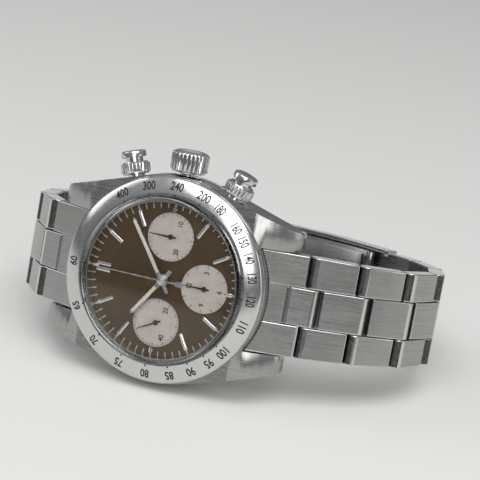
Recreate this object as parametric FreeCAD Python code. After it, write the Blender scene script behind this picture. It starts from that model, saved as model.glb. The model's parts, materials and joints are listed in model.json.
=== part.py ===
import FreeCAD, Part
import math
import os

# A steel chronograph wristwatch on its three-row link bracelet, buckled and lying on its side.
# It is modelled in the watch's own frame, in millimetres: the origin is the middle of the case,
# x runs towards 6 o'clock, y towards the wrist and z towards 3 o'clock. The last step leans it
# onto its 9 o'clock flank and clasp, with the floor at z = 0.

V = FreeCAD.Vector
X_AXIS = V(1, 0, 0)
Y_AXIS = V(0, 1, 0)
Z_AXIS = V(0, 0, 1)

# Case, millimetres. Depths are y values: negative is the dial side.
CASE_R = 19.4
CASE_TOP = -2.0
CASE_FLANK_END = 3.2
CASE_BOTTOM = 4.8
CAVITY_R = 15.0
LUG_GAP = 19.2
LUG_TIP_X = 23.3
LUG_OUTER_Z = 13.3
BEZEL_R = 19.1
BEZEL_BORE_R = 15.5
BEZEL_TOP = -4.2
CRYSTAL_R = 15.3
CRYSTAL_WALL = 0.7
CRYSTAL_TOP = -6.0
CRYSTAL_SHOULDER_R = 14.2
CRYSTAL_FOOT_R = 15.05
CRYSTAL_FOOT_TOP = -2.7
BACK_R = 17.5
BACK_BOTTOM = 6.5
LUG_ROOT_X = 5.8
CROWN_BORE_R = 1.5
PUSHER_BORE_R = 1.6
GASKET_OUTER_R = 16.2
GASKET_INNER_R = 15.4
GASKET_DEPTH = 0.4
FIT_GAP = 0.05

# Dial and hands.
DIAL_R = 14.9
DIAL_TOP = -2.2
DIAL_BACK = -1.8
CENTRE_HOLE_R = 1.2
SUB_DIAL_R = 4.5
SUB_DIAL_OFFSET = 8.0
MARKER_INNER_R = 10.3
MARKER_OUTER_R = 13.0
MARKER_WIDTH = 0.7
MARKER_TOP = -2.6
HAND_THICKNESS = 0.2
HOUR_HAND_LEVEL = -2.95
MINUTE_HAND_LEVEL = -3.3
CHRONO_HAND_LEVEL = -3.65
SUB_HAND_LEVEL = -2.4
HOUR_ANGLE = 304.5
MINUTE_ANGLE = 54.0
SMALL_SECONDS_ANGLE = 332.0
HOUR_HAND_LENGTH = 8.8
MINUTE_HAND_LENGTH = 12.6
CHRONO_HAND_LENGTH = 13.4
SUB_HAND_LENGTH = 3.7
SUB_HAND_TAIL = 1.0
SUB_HAND_THICKNESS = 0.14
SUB_ARBOR_END = -0.4

# Movement. Places are (x, z) centres.
PLATE_R = 14.7
PLATE_BACK = -0.2
BRIDGE_TOP = 3.1
BRIDGE_BOTTOM = 3.9
ARBOR_R = 0.25
BARREL_ARBOR_R = 0.6
ARBOR_START = PLATE_BACK - 0.8
ARBOR_END = BRIDGE_TOP + 0.4
WHEEL_THICKNESS = 0.25
CENTRE_WHEEL_R = 5.15
CENTRE_WHEEL_LEVEL = 0.3
CANNON_PIPE_R = 0.7
FOURTH_WHEEL_R = 4.6
FOURTH_WHEEL_LEVEL = 1.5
RUNNING_GAP = 0.06
THIRD_AT = (-4.6, -4.0)
ESCAPE_AT = (5.2, -9.2)
BALANCE_AT = (9.0, -3.0)
BARREL_AT = (-5.5, 7.5)
BRIDGE_PILLARS = [(-11.6, -4.4), (3.2, 9.6), (12.6, 2.6), (-2.0, -13.0)]

# Crown and pushers.
CONTROL_Y = 0.9
CROWN_R = 3.5
CROWN_FOOT = 19.9
CROWN_HEIGHT = 4.0
CROWN_FLUTES = 24
STEM_R = 0.6
STEM_START = 11.0
STEM_REACH = 2.4
PUSHER_FOOT = (9.4, 16.3)
PUSHER_SPLAY = 19.0
PUSHER_R = 2.75
PUSHER_FLUTES = 18
SLEEVE_FOOT = 1.35
SLEEVE_LENGTH = 2.3
PUSHER_STEM_R = 0.9
BUTTON_R = 2.35
BUTTON_FOOT = 4.6
BUTTON_HEIGHT = 1.2
CREST_HEIGHT = 0.35

# Bracelet.
PITCH = 9.2
LUG_LINK_PITCH = 5.8
LINK_HALF = 1.5
LINK_GAP = 0.2
ROW_GAP = 0.1
CENTRE_HALF_WIDTH = 3.5
WIDTH_AT_LUG = 9.4
WIDTH_AT_CLASP = 8.0
PIN_R = 0.6
PRESS_PIN_R = 0.5
PIN_INSET = 0.6
SEAT_GAP = 0.02
LUG_BAR = V(20.9, 2.4, 0)
LUG_BAR_R = 0.75
LUG_BAR_TIP_R = 0.45
LUG_LOOP_R = 1.3
LINK_NICK = 0.25
PRESS_PIN_AT = PITCH * 0.45
TONGUE_ROOT = PITCH - 3.35
# Headings of the lug link and of each link in turn, degrees, from straight out of the lugs to the wrist.
SIX_HEADINGS = [17, 27, 42, 70, 105, 128, 141]
TWELVE_HEADINGS = [26, 54, 78, 100, 126, 142, 150]

# Clasp: a cover and two blades folded under it, all on arcs about one centre.
CLASP_R = 46.0
COVER_HALF_WIDTH = 8.3
COVER_WALL = 0.8
COVER_TOP = 2.0
COVER_PLATE = 0.8
COVER_SKIRT = -0.6
COVER_END = 1.0
ADJUSTMENT_HOLES = 4
ADJUSTMENT_PITCH = 2.6
BLADE = 0.6
OUTER_BLADE_LEVEL = 0.25
INNER_BLADE_LEVEL = -1.75
KNUCKLE_R = 0.85
CLASP_PIN_R = 0.45
COVER_HINGE_ARC = 4.2
BLADE_HINGE_ARC = 3.6
BLADE_HINGE_LEVEL = -0.45
END_TUBE_R = 1.1
END_TUBE_HALF = 3.3
OUTER_BLADE_HALF = 7.0
INNER_BLADE_HALF = 6.4
BLADE_NECK = 1.3
END_RISE = 2.6
END_NECK = 4.2


def outline(points):
    """A flat face in the xy plane. A point (x, y) ends a line, and (mid x, mid y, x, y) ends an arc."""
    edges = []
    here = V(points[0][-2], points[0][-1], 0)
    for step in points[1:] + points[:1]:
        there = V(step[-2], step[-1], 0)
        if len(step) == 4:
            edges.append(Part.Arc(here, V(step[0], step[1], 0), there).toShape())
        else:
            edges.append(Part.makeLine(here, there))
        here = there
    return Part.Face(Part.Wire(edges))


def slab(points, low, high):
    """An (x, y) outline thickened from z = low to z = high."""
    face = outline(points)
    face.translate(V(0, 0, low))
    return face.extrude(V(0, 0, high - low))


def plate(points, top, bottom):
    """An (x, z) outline thickened from y = top to y = bottom."""
    face = outline(points)
    face.rotate(V(0, 0, 0), X_AXIS, 90)
    face.translate(V(0, top, 0))
    return face.extrude(V(0, bottom - top, 0))


def turned(points):
    """A (radius, y) outline turned about the watch's y axis."""
    return outline(points).revolve(V(0, 0, 0), Y_AXIS, 360)


def disc(radius, top, bottom, at=(0, 0)):
    return Part.makeCylinder(radius, bottom - top, V(at[0], top, at[1]), Y_AXIS)


def ring(outer, inner, top, bottom, at=(0, 0)):
    return disc(outer, top, bottom, at).cut(disc(inner, top, bottom, at))


def rod(radius, half_length, x=0, y=0):
    """A round bar across the watch, parallel to z."""
    return Part.makeCylinder(radius, 2 * half_length, V(x, y, -half_length), Z_AXIS)


def fluted(radius, depth, count, low, high):
    """A cylinder along z with shallow V flutes."""
    points = []
    for step in range(2 * count):
        reach = radius - depth * (step % 2)
        angle = math.pi * step / count
        points.append((reach * math.cos(angle), reach * math.sin(angle)))
    return slab(points, low, high)


def spot(angle, radius):
    """The (x, z) place at a clock angle in degrees, clockwise from 12, seen from the dial side."""
    turn = math.radians(angle)
    return (-radius * math.cos(turn), radius * math.sin(turn))


def clockwise(shape, angle, at=(0, 0)):
    """A hand drawn pointing at 12 o'clock, turned to a clock angle about its own centre."""
    shape.rotate(V(at[0], 0, at[1]), Y_AXIS, angle)
    return shape


# The case and what is fixed in it.

def lug(side_x, side_z):
    """A horn for a spring bar. It is drawn at 6 o'clock on the crown side and mirrored to its corner."""
    inside = LUG_GAP / 2
    plan = [(LUG_ROOT_X, 18.45), (22.3, LUG_OUTER_Z), (23.1, 12.9, LUG_TIP_X, 12.1), (LUG_TIP_X, inside + 0.7),
            (22.6, inside), (LUG_ROOT_X, inside)]
    side = [(LUG_ROOT_X, CASE_TOP), (12.5, CASE_TOP), (18.8, -0.95, LUG_TIP_X, 2.7), (LUG_TIP_X, 4.4),
            (23.0, 5.1, 22.3, 5.3), (16.0, CASE_BOTTOM), (LUG_ROOT_X, CASE_BOTTOM)]
    shape = plate(plan, CASE_TOP, 6).common(slab(side, 9, 19))
    if side_x < 0:
        shape = shape.mirror(V(0, 0, 0), X_AXIS)
    if side_z < 0:
        shape = shape.mirror(V(0, 0, 0), Z_AXIS)
    return shape


def case_middle():
    """The case band with its lugs, bored for the movement, the crown, the pushers and the spring bars."""
    body = turned([(0, CASE_TOP), (CASE_R - 0.3, CASE_TOP), (CASE_R, CASE_TOP + 0.6), (CASE_R, CASE_FLANK_END),
                   (CASE_R - 0.5, 4.2, CASE_R - 1.4, CASE_BOTTOM), (0, CASE_BOTTOM)])
    body = body.fuse([lug(x, z) for x in (-1, 1) for z in (-1, 1)])
    body = body.cut(disc(CAVITY_R, CASE_TOP, CASE_BOTTOM))
    body = body.cut(ring(GASKET_OUTER_R, GASKET_INNER_R, CASE_BOTTOM - GASKET_DEPTH, CASE_BOTTOM))
    body = body.cut(Part.makeCylinder(CROWN_BORE_R, 10, V(0, CONTROL_Y, 14), Z_AXIS))
    for side in (-1, 1):
        bore = Part.makeCylinder(PUSHER_BORE_R, 12, V(0, 0, -5), Z_AXIS)
        body = body.cut(on_pusher_axis(bore, side))
        tip_holes = rod(LUG_BAR_TIP_R + FIT_GAP, 11.2, side * LUG_BAR.x, LUG_BAR.y)
        body = body.cut(tip_holes)
    return body.removeSplitter()


def bezel():
    """A ring with a sloping top face, rolled over at its outer edge."""
    edge = [(BEZEL_R, CASE_TOP), (BEZEL_R, -2.5), (BEZEL_R - 0.1, -2.95, BEZEL_R - 0.5, -3.2)]
    return turned([(BEZEL_BORE_R, CASE_TOP)] + edge + [(BEZEL_BORE_R + 0.6, BEZEL_TOP), (BEZEL_BORE_R, BEZEL_TOP)])


def dome(edge_r, edge_y, crown_y):
    """The midpoint of the arc that runs level over the axis at crown_y and ends at (edge_r, edge_y)."""
    rise = edge_y - crown_y
    sphere_r = (edge_r ** 2 + rise ** 2) / (2 * rise)
    return edge_r / 2, crown_y + sphere_r - math.sqrt(sphere_r ** 2 - (edge_r / 2) ** 2)


def crystal():
    """A domed crystal with a wall that stands on the case."""
    inner = CRYSTAL_R - CRYSTAL_WALL
    under = CRYSTAL_TOP + 1.0
    shoulder = (CRYSTAL_SHOULDER_R, -5.05)
    springing = (inner, -4.1)
    over_arc = dome(*shoulder, CRYSTAL_TOP) + shoulder
    under_arc = dome(*springing, under) + (0, under)
    wall = [(15.1, -4.85, CRYSTAL_R, -4.5), (CRYSTAL_R, CASE_TOP), (CRYSTAL_FOOT_R, CASE_TOP),
            (CRYSTAL_FOOT_R, CRYSTAL_FOOT_TOP), (inner, CRYSTAL_FOOT_TOP)]
    return turned([under_arc, (0, CRYSTAL_TOP), over_arc] + wall + [springing])


def crystal_ring():
    """The ring under the crystal that slopes down to the dial."""
    return turned([(14.95, DIAL_TOP), (14.95, -2.62), (14.5, -2.62), (14.5, -3.9), (14.3, -3.9), (14.1, DIAL_TOP)])


def sub_dial_centres():
    """The counters at 3, 6 and 9 o'clock."""
    return [spot(angle, SUB_DIAL_OFFSET) for angle in (90, 180, 270)]


def dial():
    shape = ring(DIAL_R, CENTRE_HOLE_R, DIAL_TOP, DIAL_BACK)
    for centre in sub_dial_centres():
        shape = shape.cut(disc(SUB_DIAL_R, DIAL_TOP, DIAL_BACK, centre))
    return shape


def sub_dials():
    return Part.makeCompound([ring(SUB_DIAL_R - 0.02, 0.3, DIAL_TOP + 0.12, DIAL_BACK, centre)
                              for centre in sub_dial_centres()])


def hour_markers():
    """Applied batons at every hour but 3, 6 and 9, where the counters are, and a double one at 12."""
    batons = []
    for hour in (1, 2, 4, 5, 7, 8, 10, 11):
        batons.append(marker(30 * hour, 0))
    batons.append(marker(0, 0.55))
    batons.append(marker(0, -0.55))
    for hour in (3, 6, 9):
        batons.append(clockwise(baton(MARKER_OUTER_R - 0.4, MARKER_OUTER_R + 0.6, 0), 30 * hour))
    return Part.makeCompound(batons)


def baton(inner, outer, offset):
    half = MARKER_WIDTH / 2
    return plate([(-outer, offset - half), (-inner, offset - half), (-inner, offset + half), (-outer, offset + half)],
                 MARKER_TOP, DIAL_TOP)


def marker(angle, offset):
    return clockwise(baton(MARKER_INNER_R, MARKER_OUTER_R, offset), angle)


# Hands. Each is drawn pointing at 12 o'clock, which is -x, and then turned.

def hand_blade(length, tail, width, tip_width, level):
    return plate([(-length, -tip_width / 2), (-length, tip_width / 2), (0, width / 2), (tail, width / 2),
                  (tail, -width / 2), (0, -width / 2)], level, level + HAND_THICKNESS)


def hour_hand():
    blade = hand_blade(HOUR_HAND_LENGTH, tail=2.4, width=0.8, tip_width=0.7, level=HOUR_HAND_LEVEL)
    pipe = disc(1.1, HOUR_HAND_LEVEL, -1.0)
    bore = disc(0.78, HOUR_HAND_LEVEL - 1, 0)
    return clockwise(blade.fuse(pipe).cut(bore), HOUR_ANGLE)


def minute_hand():
    blade = hand_blade(MINUTE_HAND_LENGTH, tail=2.6, width=0.7, tip_width=0.55, level=MINUTE_HAND_LEVEL)
    pipe = disc(CANNON_PIPE_R, MINUTE_HAND_LEVEL, 1.2)
    hub = disc(0.9, MINUTE_HAND_LEVEL, MINUTE_HAND_LEVEL + HAND_THICKNESS)
    bore = disc(0.38, MINUTE_HAND_LEVEL - 1, 2)
    return clockwise(blade.fuse([pipe, hub]).cut(bore), MINUTE_ANGLE)


def chrono_seconds_hand():
    """Points straight at 12, with a flat counterweight on its tail."""
    blade = hand_blade(CHRONO_HAND_LENGTH, tail=4.4, width=0.34, tip_width=0.16, level=CHRONO_HAND_LEVEL)
    weight = disc(0.7, CHRONO_HAND_LEVEL, CHRONO_HAND_LEVEL + HAND_THICKNESS, (3.4, 0))
    hub = disc(0.8, CHRONO_HAND_LEVEL, CHRONO_HAND_LEVEL + HAND_THICKNESS)
    cap = disc(0.45, CHRONO_HAND_LEVEL - 0.3, CHRONO_HAND_LEVEL)
    arbor = disc(0.3, CHRONO_HAND_LEVEL, 0.8)
    return blade.fuse([weight, hub, cap, arbor])


def counter_hand(angle, centre, arbor_end):
    """A counter's small pointed hand, on an arbor that reaches back to y = arbor_end."""
    back = SUB_HAND_LEVEL + SUB_HAND_THICKNESS
    half_plan = [(-SUB_HAND_LENGTH, 0.08), (0, 0.25), (SUB_HAND_TAIL, 0.18)]
    plan = half_plan + [(x, -z) for x, z in reversed(half_plan)]
    blade = plate([(centre[0] + x, centre[1] + z) for x, z in plan], SUB_HAND_LEVEL, back)
    hub = disc(0.5, SUB_HAND_LEVEL - 0.1, back, centre)
    arbor = disc(ARBOR_R, SUB_HAND_LEVEL, arbor_end, centre)
    return clockwise(blade.fuse([hub, arbor]), angle, centre)


# Movement.

def train_arbors():
    """(centre, wheel radius, wheel level, pinion radius, pinion level) of the third and escape wheels."""
    return {"third_wheel": (THIRD_AT, 5.2, 0.9, 0.8, 0.3), "escape_wheel": (ESCAPE_AT, 2.4, 2.1, 0.55, 1.5)}


def spoked_wheel(radius, level, at, bore):
    """A thin rim on four spokes. The hub is solid when bore is 0."""
    back = level + WHEEL_THICKNESS
    reach = radius * 0.85
    half = radius * 0.07
    spokes = [Part.makeBox(2 * across, WHEEL_THICKNESS, 2 * along, V(at[0] - across, level, at[1] - along))
              for across, along in ((reach, half), (half, reach))]
    wheel = ring(radius, radius * 0.78, level, back, at)
    wheel = wheel.fuse([disc(radius * 0.25, level, back, at)] + spokes)
    if bore:
        wheel = wheel.cut(disc(bore, level, back, at))
    return wheel


def train_wheel(at, radius, level, pinion_radius, pinion_level):
    wheel = spoked_wheel(radius, level, at, 0)
    pinion = disc(pinion_radius, pinion_level, pinion_level + 0.4, at)
    arbor = disc(ARBOR_R, ARBOR_START, ARBOR_END, at)
    return wheel.fuse([pinion, arbor])


def balance_wheel():
    wheel = spoked_wheel(4.2, 2.4, BALANCE_AT, 0)
    return wheel.fuse(disc(ARBOR_R, ARBOR_START, ARBOR_END, BALANCE_AT))


def centre_wheel():
    return spoked_wheel(CENTRE_WHEEL_R, CENTRE_WHEEL_LEVEL, (0, 0), CANNON_PIPE_R)


def fourth_wheel(at):
    """The wheel and pinion on the small seconds hand's arbor."""
    wheel = spoked_wheel(FOURTH_WHEEL_R, FOURTH_WHEEL_LEVEL, at, ARBOR_R)
    return wheel.fuse(ring(0.7, ARBOR_R, 0.9, FOURTH_WHEEL_LEVEL, at))


def mainspring_barrel():
    drum = disc(4.8, 0.9, 2.6, BARREL_AT)
    return drum.fuse(disc(BARREL_ARBOR_R, ARBOR_START, ARBOR_END, BARREL_AT))


def pivots():
    """Every arbor that turns in the plate: (centre, arbor radius)."""
    seats = [(centre, ARBOR_R) for centre in sub_dial_centres()]
    seats += [(THIRD_AT, ARBOR_R), (ESCAPE_AT, ARBOR_R), (BALANCE_AT, ARBOR_R), (BARREL_AT, BARREL_ARBOR_R)]
    return seats


def main_plate():
    shape = ring(PLATE_R, CENTRE_HOLE_R, DIAL_BACK, PLATE_BACK)
    for centre, radius in pivots():
        shape = shape.cut(disc(radius + RUNNING_GAP, DIAL_BACK, PLATE_BACK, centre))
    return shape


def train_bridge():
    """The back plate over the train, on four pillars."""
    shape = disc(13.9, BRIDGE_TOP, BRIDGE_BOTTOM)
    shape = shape.fuse([disc(0.8, PLATE_BACK, BRIDGE_TOP, at) for at in BRIDGE_PILLARS])
    for centre, radius in pivots():
        shape = shape.cut(disc(radius + RUNNING_GAP, BRIDGE_TOP, BRIDGE_BOTTOM, centre))
    return shape


def case_back():
    """The screwed back, hollow inside, with six key notches in its rim."""
    shell = turned([(0, CASE_BOTTOM), (BACK_R, CASE_BOTTOM), (BACK_R, 5.4), (16.9, 6.2, 15.2, BACK_BOTTOM),
                    (0, BACK_BOTTOM)])
    shell = shell.cut(disc(14.4, CASE_BOTTOM, 5.6))
    for step in range(6):
        notch = disc(0.7, 5.7, 7, spot(60 * step, 16.9))
        shell = shell.cut(notch)
    return shell


def case_back_gasket():
    front = CASE_BOTTOM - GASKET_DEPTH + FIT_GAP
    return ring(GASKET_OUTER_R - FIT_GAP, GASKET_INNER_R + FIT_GAP, front, CASE_BOTTOM)


# Crown and pushers.

def crown():
    """The fluted screw-down crown, hollow over its tube."""
    foot_height = 0.3
    cap_height = 0.4
    flute_depth = 0.22
    shoulder = CROWN_FOOT + CROWN_HEIGHT - cap_height
    body = fluted(CROWN_R, flute_depth, CROWN_FLUTES, CROWN_FOOT + foot_height, shoulder)
    foot = Part.makeCylinder(CROWN_R - 0.35, foot_height, V(0, 0, CROWN_FOOT), Z_AXIS)
    cap = Part.makeCone(CROWN_R - flute_depth, CROWN_R - 0.75, cap_height, V(0, 0, shoulder), Z_AXIS)
    skirt = Part.makeCylinder(CROWN_BORE_R + 0.2, STEM_REACH, V(0, 0, CROWN_FOOT), Z_AXIS)
    body = body.fuse([foot, cap]).cut(skirt)
    body.translate(V(0, CONTROL_Y, 0))
    return body


def winding_stem():
    return Part.makeCylinder(STEM_R, CROWN_FOOT + STEM_REACH - STEM_START, V(0, CONTROL_Y, STEM_START), Z_AXIS)


def stem_sleeve(radius, start, end):
    """A tube round the winding stem, from z = start to z = end."""
    place = V(0, CONTROL_Y, start)
    tube = Part.makeCylinder(radius, end - start, place, Z_AXIS)
    return tube.cut(Part.makeCylinder(STEM_R + RUNNING_GAP, end - start, place, Z_AXIS))


def winding_pinion():
    return stem_sleeve(0.9, 12.6, 14.0)


def crown_tube():
    return stem_sleeve(CROWN_BORE_R, 15.2, CROWN_FOOT + 1.6)


def on_pusher_axis(shape, side):
    """Moves a shape drawn along z, from the case wall outwards, onto the pusher at 2 (-1) or 4 (1) o'clock."""
    shape.rotate(V(0, 0, 0), Y_AXIS, side * PUSHER_SPLAY)
    shape.translate(V(side * PUSHER_FOOT[0], CONTROL_Y, PUSHER_FOOT[1]))
    return shape


def pusher_tube(side):
    start = V(0, 0, -1.2)
    length = SLEEVE_FOOT + 1.7
    tube = Part.makeCylinder(PUSHER_BORE_R, length, start, Z_AXIS)
    bore = Part.makeCylinder(PUSHER_STEM_R + RUNNING_GAP, length, start, Z_AXIS)
    return on_pusher_axis(tube.cut(bore), side)


def pusher_sleeve(side):
    """The screw-down collar that locks the button."""
    rim = 0.35
    top = SLEEVE_FOOT + SLEEVE_LENGTH
    body = fluted(PUSHER_R, 0.2, PUSHER_FLUTES, SLEEVE_FOOT + rim, top - rim)
    rims = [Part.makeCylinder(PUSHER_R - 0.3, rim, V(0, 0, level), Z_AXIS) for level in (SLEEVE_FOOT, top - rim)]
    bore = Part.makeCylinder(PUSHER_BORE_R + 0.1, SLEEVE_LENGTH, V(0, 0, SLEEVE_FOOT), Z_AXIS)
    body = body.fuse(rims).cut(bore)
    return on_pusher_axis(body, side)


def pusher_button(side):
    rim_height = BUTTON_HEIGHT - CREST_HEIGHT
    stem_start = -1.5
    cap = Part.makeCylinder(BUTTON_R, rim_height, V(0, 0, BUTTON_FOOT), Z_AXIS)
    crest = Part.makeCone(BUTTON_R, BUTTON_R - 0.4, CREST_HEIGHT, V(0, 0, BUTTON_FOOT + rim_height), Z_AXIS)
    stem = Part.makeCylinder(PUSHER_STEM_R, BUTTON_FOOT - stem_start, V(0, 0, stem_start), Z_AXIS)
    return on_pusher_axis(cap.fuse([crest, stem]), side)


def pusher_spring(side):
    """Four turns of wire round the stem, between the tube's mouth and the button."""
    coil_r = 1.25
    wire_r = 0.16
    coils = [Part.makeTorus(coil_r, wire_r, V(0, 0, SLEEVE_FOOT + 0.8 + 0.7 * step), Z_AXIS) for step in range(4)]
    return on_pusher_axis(Part.makeCompound(coils), side)


# Bracelet links. A link is drawn with x along the bracelet from its pivot, y towards the wrist and z across.

def chain(headings, side):
    """Pivots of one half of the bracelet from the lug bar on; side is 1 at 6 o'clock and -1 at 12."""
    pivot = V(side * LUG_BAR.x, LUG_BAR.y, 0)
    pivots_found = [pivot]
    for index, heading in enumerate(headings):
        reach = PITCH if index else LUG_LINK_PITCH
        turn = math.radians(heading)
        pivot = pivot + V(side * math.cos(turn), math.sin(turn), 0) * reach
        pivots_found.append(pivot)
    return pivots_found


SIX_PIVOTS = chain(SIX_HEADINGS, 1)
TWELVE_PIVOTS = chain(TWELVE_HEADINGS, -1)
LINK_COUNT = len(SIX_HEADINGS) - 1


def laid(shape, pivot, heading, side):
    """Lays a link drawn at the origin on its pivot, along its heading."""
    turn = math.radians(heading)
    along = V(side * math.cos(turn), math.sin(turn), 0)
    inward = V(-side * math.sin(turn), math.cos(turn), 0)
    shape.Placement = FreeCAD.Placement(pivot, FreeCAD.Rotation(along, inward, V(0, 0, side), "ZXY"))
    return shape


def half_width(distance):
    """Half the bracelet's width at a distance along it from the first link's pivot."""
    return WIDTH_AT_LUG - (WIDTH_AT_LUG - WIDTH_AT_CLASP) * distance / (LINK_COUNT * PITCH)


def link_side(low, high, round_low, round_high):
    """A link plate seen from the side. A rounded end is a half circle about a pivot at that x."""
    r = LINK_HALF
    nick = LINK_NICK
    if round_low:
        points = [(low, r), (low - r, 0, low, -r)]
    else:
        points = [(low + nick, r), (low, r - nick), (low, nick - r), (low + nick, -r)]
    if round_high:
        points += [(high, -r), (high + r, 0, high, r)]
    else:
        points += [(high - nick, -r), (high, nick - r), (high, r - nick), (high - nick, r)]
    return points


def outer_plate(low, high, round_low, round_high, start):
    """An outer row's plate on the +z side, narrowing with the bracelet."""
    inner = CENTRE_HALF_WIDTH + ROW_GAP
    reach = LINK_HALF + 0.1
    ends = (low - reach, high + reach)
    plan = [(ends[0], inner), (ends[1], inner), (ends[1], half_width(start + ends[1])),
            (ends[0], half_width(start + ends[0]))]
    body = slab(link_side(low, high, round_low, round_high), inner, 10)
    return body.common(plate(plan, -3, 3))


def link_parts(index, side):
    """(outer low, high, rounded?), (centre low, high, rounded?) for a link; the clasp ends differ."""
    stop = PITCH - LINK_HALF - LINK_GAP
    begin = LINK_HALF + LINK_GAP
    if index < LINK_COUNT:
        return (0, stop, False), (begin, PITCH, True)
    if side < 0:
        return (0, PITCH, True), (begin, stop, False)
    return (0, PITCH - 3.4, False), (begin, PITCH - 3.0, False)


def link(index, side):
    """Link number index from the lug: two outer plates, a centre plate, its pivot pin and its press pin."""
    start = (index - 1) * PITCH
    outer_span, centre_span = link_parts(index, side)
    upper = outer_plate(outer_span[0], outer_span[1], True, outer_span[2], start)
    centre = slab(link_side(centre_span[0], centre_span[1], False, centre_span[2]),
                  -CENTRE_HALF_WIDTH, CENTRE_HALF_WIDTH)
    if index == LINK_COUNT and side > 0:
        centre = centre.fuse(clasp_tongue())
    pin_half = half_width(start + PITCH) - PIN_INSET
    pivot_pin = rod(PIN_R, pin_half)
    press_pin = rod(PRESS_PIN_R, pin_half, PRESS_PIN_AT)
    lower = upper.mirror(V(0, 0, 0), Z_AXIS)
    seat_half = pin_half + SEAT_GAP
    pin_seats = [rod(PIN_R + SEAT_GAP, seat_half), rod(PRESS_PIN_R + SEAT_GAP, seat_half, PRESS_PIN_AT)]
    next_bore = rod(PIN_R + RUNNING_GAP, seat_half, PITCH)
    if index == LINK_COUNT:
        next_bore = rod(CLASP_PIN_R + RUNNING_GAP, COVER_HALF_WIDTH, PITCH)
    upper = upper.cut(pin_seats)
    lower = lower.cut(pin_seats)
    if index == LINK_COUNT and side < 0:
        ear_bore = rod(CLASP_PIN_R + RUNNING_GAP, WIDTH_AT_CLASP - 1.0, PITCH)
        upper = upper.cut(ear_bore)
        lower = lower.cut(ear_bore)
    else:
        centre = centre.cut(next_bore)
    centre = centre.cut(pin_seats[1])
    return Part.makeCompound([upper, lower, centre, pivot_pin, press_pin])


def clasp_tongue():
    """The thin end of the last link that hangs on the clasp's spring bar, inside the cover."""
    half = COVER_HALF_WIDTH - COVER_WALL - 0.3
    loop_r = 0.9
    loop = rod(loop_r, half, PITCH)
    web = slab([(TONGUE_ROOT, -0.3), (PITCH, -0.3), (PITCH, loop_r), (TONGUE_ROOT, loop_r)], -half, half)
    return loop.fuse(web)


def lug_link():
    """The short centre plate between the lug's spring bar and the first link."""
    r = LINK_HALF
    step = (1.5, 1.7)
    points = [(0, LUG_LOOP_R), (-LUG_LOOP_R, 0, 0, -LUG_LOOP_R), (step[0], -LUG_LOOP_R), (step[1], -r),
              (LUG_LINK_PITCH, -r), (LUG_LINK_PITCH + r, 0, LUG_LINK_PITCH, r), (step[1], r), (step[0], LUG_LOOP_R)]
    body = slab(points, ROW_GAP - CENTRE_HALF_WIDTH, CENTRE_HALF_WIDTH - ROW_GAP)
    body = body.cut(rod(LUG_BAR_R + 0.07, 10))
    return body.cut(rod(PIN_R + RUNNING_GAP, 10, LUG_LINK_PITCH))


def lug_bar(side):
    """A spring bar: a barrel between the lugs, with a thin tip that reaches into each."""
    barrel = rod(LUG_BAR_R, LUG_GAP / 2 - 0.2, side * LUG_BAR.x, LUG_BAR.y)
    return barrel.fuse(rod(LUG_BAR_TIP_R, 11.0, side * LUG_BAR.x, LUG_BAR.y))


def end_link(heading, side):
    """Fills the space between the lugs, and stays with the case."""
    turn = math.radians(heading)
    along = V(math.cos(turn), math.sin(turn), 0)
    inward = V(-math.sin(turn), math.cos(turn), 0)
    reach = LUG_LINK_PITCH - LINK_HALF - LINK_GAP
    top = LUG_BAR + along * reach - inward * LINK_HALF
    bottom = LUG_BAR + along * reach + inward * LINK_HALF
    side_view = [(16.4, -1.35), (top.x, top.y), (bottom.x, bottom.y), (18.4, 5.2), (16.4, 4.6)]
    body = slab(side_view, -WIDTH_AT_LUG, WIDTH_AT_LUG).cut(disc(CASE_R + 0.05, -4, 8))
    slot = CENTRE_HALF_WIDTH
    clearance = LUG_LOOP_R + 0.15
    ahead = slab([(1.05, -6), (9, -6), (9, 6), (1.05, 6)], -slot, slot)
    below = slab([(-clearance, 0), (1.2, 0), (1.2, 6), (-clearance, 6)], -slot, slot)
    above = slab([(0, -clearance), (1.2, -clearance), (1.2, 1), (0, 1)], -slot, slot)
    hollow = rod(clearance, slot).fuse([ahead, below, above])
    body = body.cut(laid(hollow, LUG_BAR, heading, 1))
    body = body.cut(rod(LUG_BAR_R + 0.03, 12, LUG_BAR.x, LUG_BAR.y))
    if side < 0:
        body = body.mirror(V(0, 0, 0), X_AXIS)
    return body


# Clasp. Its pieces are placed by arc length from the cover's spring bar, and by level above the pivots' arc.

BAR_PIVOT = SIX_PIVOTS[-1]
OPEN_PIVOT = TWELVE_PIVOTS[-1]
CHORD = OPEN_PIVOT - BAR_PIVOT
HALF_ANGLE = math.degrees(math.asin(CHORD.Length / 2 / CLASP_R))
CHORD_HEADING = math.degrees(math.atan2(CHORD.y, CHORD.x))
OUTWARD = V(math.sin(math.radians(CHORD_HEADING)), -math.cos(math.radians(CHORD_HEADING)), 0)
CLASP_CENTRE = (BAR_PIVOT + OPEN_PIVOT) * 0.5 - OUTWARD * (CLASP_R * math.cos(math.radians(HALF_ANGLE)))
BAR_ANGLE = math.degrees(math.atan2(OUTWARD.y, OUTWARD.x)) - HALF_ANGLE
CLASP_ARC = math.radians(2 * HALF_ANGLE) * CLASP_R
COVER_HINGE_AT = CLASP_ARC - COVER_HINGE_ARC


def clasp_angle(arc):
    return BAR_ANGLE + math.degrees(arc / CLASP_R)


def clasp_point(arc, level):
    turn = math.radians(clasp_angle(arc))
    return CLASP_CENTRE + V(math.cos(turn), math.sin(turn), 0) * (CLASP_R + level)


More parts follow.
